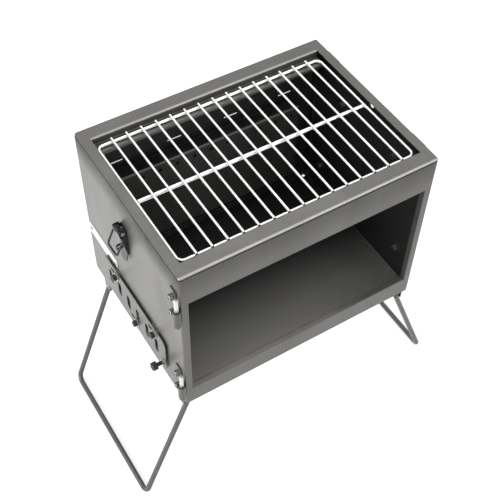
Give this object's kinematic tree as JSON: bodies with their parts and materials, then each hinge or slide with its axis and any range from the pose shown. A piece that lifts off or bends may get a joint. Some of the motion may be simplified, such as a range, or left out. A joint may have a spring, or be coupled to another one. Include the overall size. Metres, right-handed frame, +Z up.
{
  "type": "folding camp wood stove",
  "caption": "Portable sheet steel wood stove: open-fronted firebox on two folding wire legs, with a lift-out wire grill, sliding air damper, toggle latch and lift-off hinge halves.",
  "frame": {"origin": "on the ground, at the middle of the stove's outline seen from above", "axes": "+X along the wide front to the right, +Y from the open mouth to the rear, +Z up"},
  "size_m": [0.5604, 0.2994, 0.531],
  "materials": {
    "body_paint": "matt heat-resistant dark grey paint",
    "bright_zinc": "bright zinc plate",
    "hinge_steel": "matt grey steel",
    "black_oxide": "black oxide, satin",
    "latch_black": "black, semi-gloss",
    "rivet_steel": "plain bright steel",
    "leg_steel": "dark grey coated steel rod",
    "grill_chrome": "bright chrome plate",
    "nameplate_steel": "polished stainless, bare"
  },
  "bodies": {
    "firebox": {"firebox_shell": "body_paint", "rear_wall": "body_paint", "floor_pan": "body_paint", "top_frame": "body_paint", "air_duct": "body_paint", "nameplate": "nameplate_steel", "nameplate_rivets": "rivet_steel", "upper_hinge_half": "hinge_steel", "upper_hinge_washer": "black_oxide", "upper_hinge_pin": "bright_zinc", "lower_hinge_half": "hinge_steel", "lower_hinge_washer": "black_oxide", "lower_hinge_pin": "bright_zinc", "hinge_screws": "bright_zinc", "hinge_nuts": "bright_zinc", "damper_guide_screws": "black_oxide", "damper_guide_washers": "bright_zinc", "damper_guide_nuts": "bright_zinc", "side_plate": "body_paint", "side_plate_screws": "black_oxide", "side_plate_nuts": "bright_zinc", "latch_base": "latch_black", "latch_rivets": "rivet_steel", "latch_pivot_pin": "rivet_steel", "left_front_bracket": "body_paint", "left_rear_bracket": "body_paint", "right_front_bracket": "body_paint", "right_rear_bracket": "body_paint", "left_bracket_screws": "black_oxide", "right_bracket_screws": "black_oxide"},
    "damper": {"air_damper": "body_paint", "damper_knob_screw": "black_oxide", "damper_knob_nut": "bright_zinc"},
    "latch_lever_body": {"latch_lever": "latch_black"},
    "latch_bail_body": {"latch_bail": "latch_black"},
    "left_leg_body": {"left_leg": "leg_steel", "left_leg_clips": "rivet_steel"},
    "right_leg_body": {"right_leg": "leg_steel", "right_leg_clips": "rivet_steel"},
    "grill": {"grill_rim": "grill_chrome", "grill_bars": "grill_chrome", "grill_crossbar": "grill_chrome"}
  },
  "joints": [
    {"name": "damper_slide", "type": "slide", "parent": "firebox", "child": "damper", "axis": [0, -1, 0], "range_m": [0, 0.016]},
    {"name": "latch_lever_hinge", "type": "hinge", "parent": "firebox", "child": "latch_lever_body", "pos_m": [-0.2073, 0.01025, 0.473], "axis": [0, 1, 0], "range_deg": [0, 95]},
    {"name": "latch_bail_hinge", "type": "hinge", "parent": "latch_lever_body", "child": "latch_bail_body", "pos_m": [-0.209, 0.01025, 0.465], "axis": [0, 1, 0], "range_deg": [0, 85]},
    {"name": "left_leg_fold", "type": "hinge", "parent": "firebox", "child": "left_leg_body", "pos_m": [-0.189, 0.00275, 0.2305], "axis": [0, -1, 0], "range_deg": [0, 111]},
    {"name": "right_leg_fold", "type": "hinge", "parent": "firebox", "child": "right_leg_body", "pos_m": [0.189, 0.00275, 0.217], "axis": [0, 1, 0], "range_deg": [0, 112.2]},
    {"name": "grill_lift", "type": "slide", "parent": "firebox", "child": "grill", "axis": [0, 0, 1], "range_m": [0, 0.04]}
  ]
}
